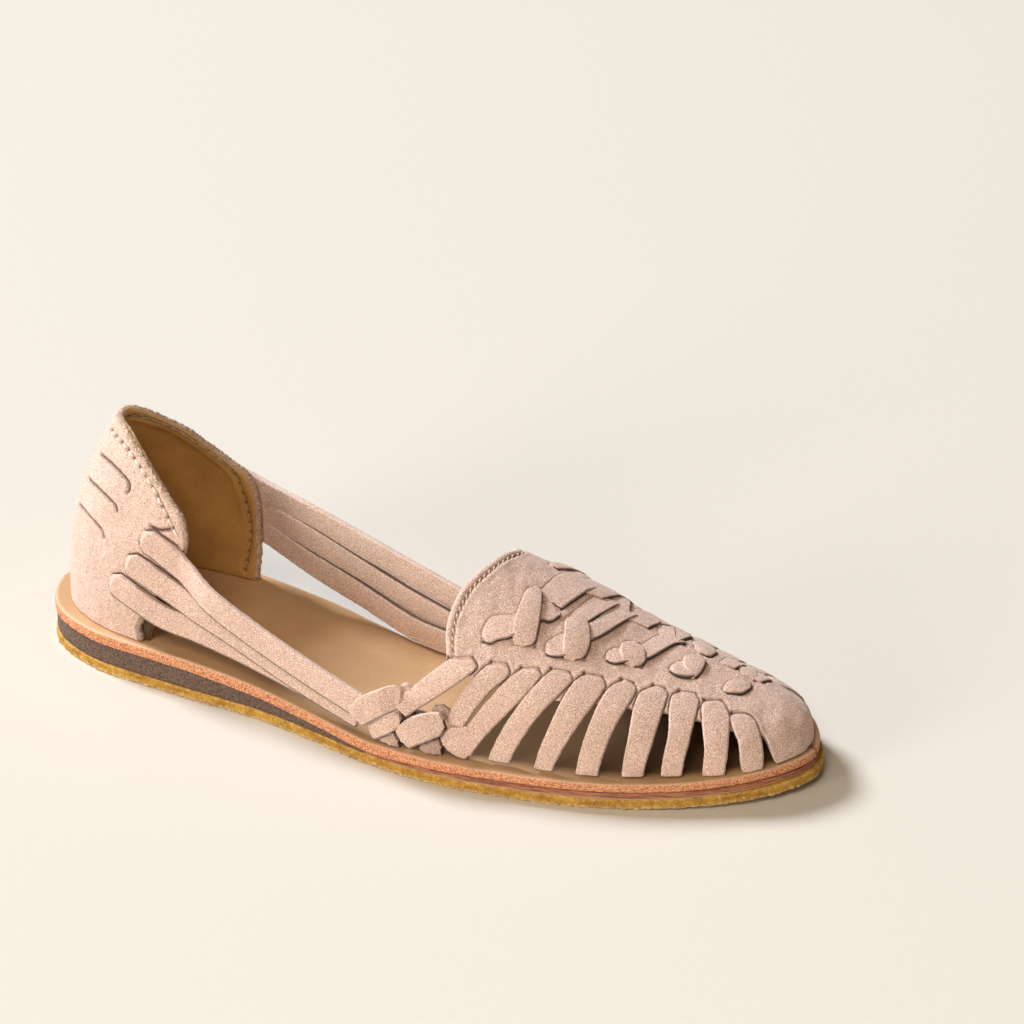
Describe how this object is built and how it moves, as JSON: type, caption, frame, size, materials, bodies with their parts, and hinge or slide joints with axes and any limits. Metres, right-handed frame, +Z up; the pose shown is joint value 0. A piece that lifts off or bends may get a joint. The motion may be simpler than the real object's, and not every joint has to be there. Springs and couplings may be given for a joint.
{
  "type": "woven leather sandal",
  "caption": "Flat woven suede sandal for the right foot: closed heel counter, side straps over an open waist, woven vamp with fanned ribs, leather insole and crepe sole.",
  "frame": {"origin": "middle of the object's box, on the floor under the sole", "axes": "+X from heel to toe, +Y towards the inner side of the foot, +Z up"},
  "size_m": [0.2578, 0.0857, 0.0803],
  "materials": {
    "crepe_rubber": "matt amber crepe with a ragged cut edge",
    "wedge_rubber": "matt dark brown rubber with a fine pebbled side",
    "midsole_leather": "reddish brown leather edge, lightly waxed",
    "insole_leather": "smooth tan leather with a raw speckled edge",
    "suede": "napped dusty pink beige suede",
    "lining_leather": "smooth mustard tan lining leather",
    "thread": "matt twisted sewing thread"
  },
  "bodies": {
    "root": {"outsole": "crepe_rubber", "heel_wedge": "wedge_rubber", "forefoot_midsole": "midsole_leather", "insole": "insole_leather", "upper": "suede"}
  },
  "joints": []
}
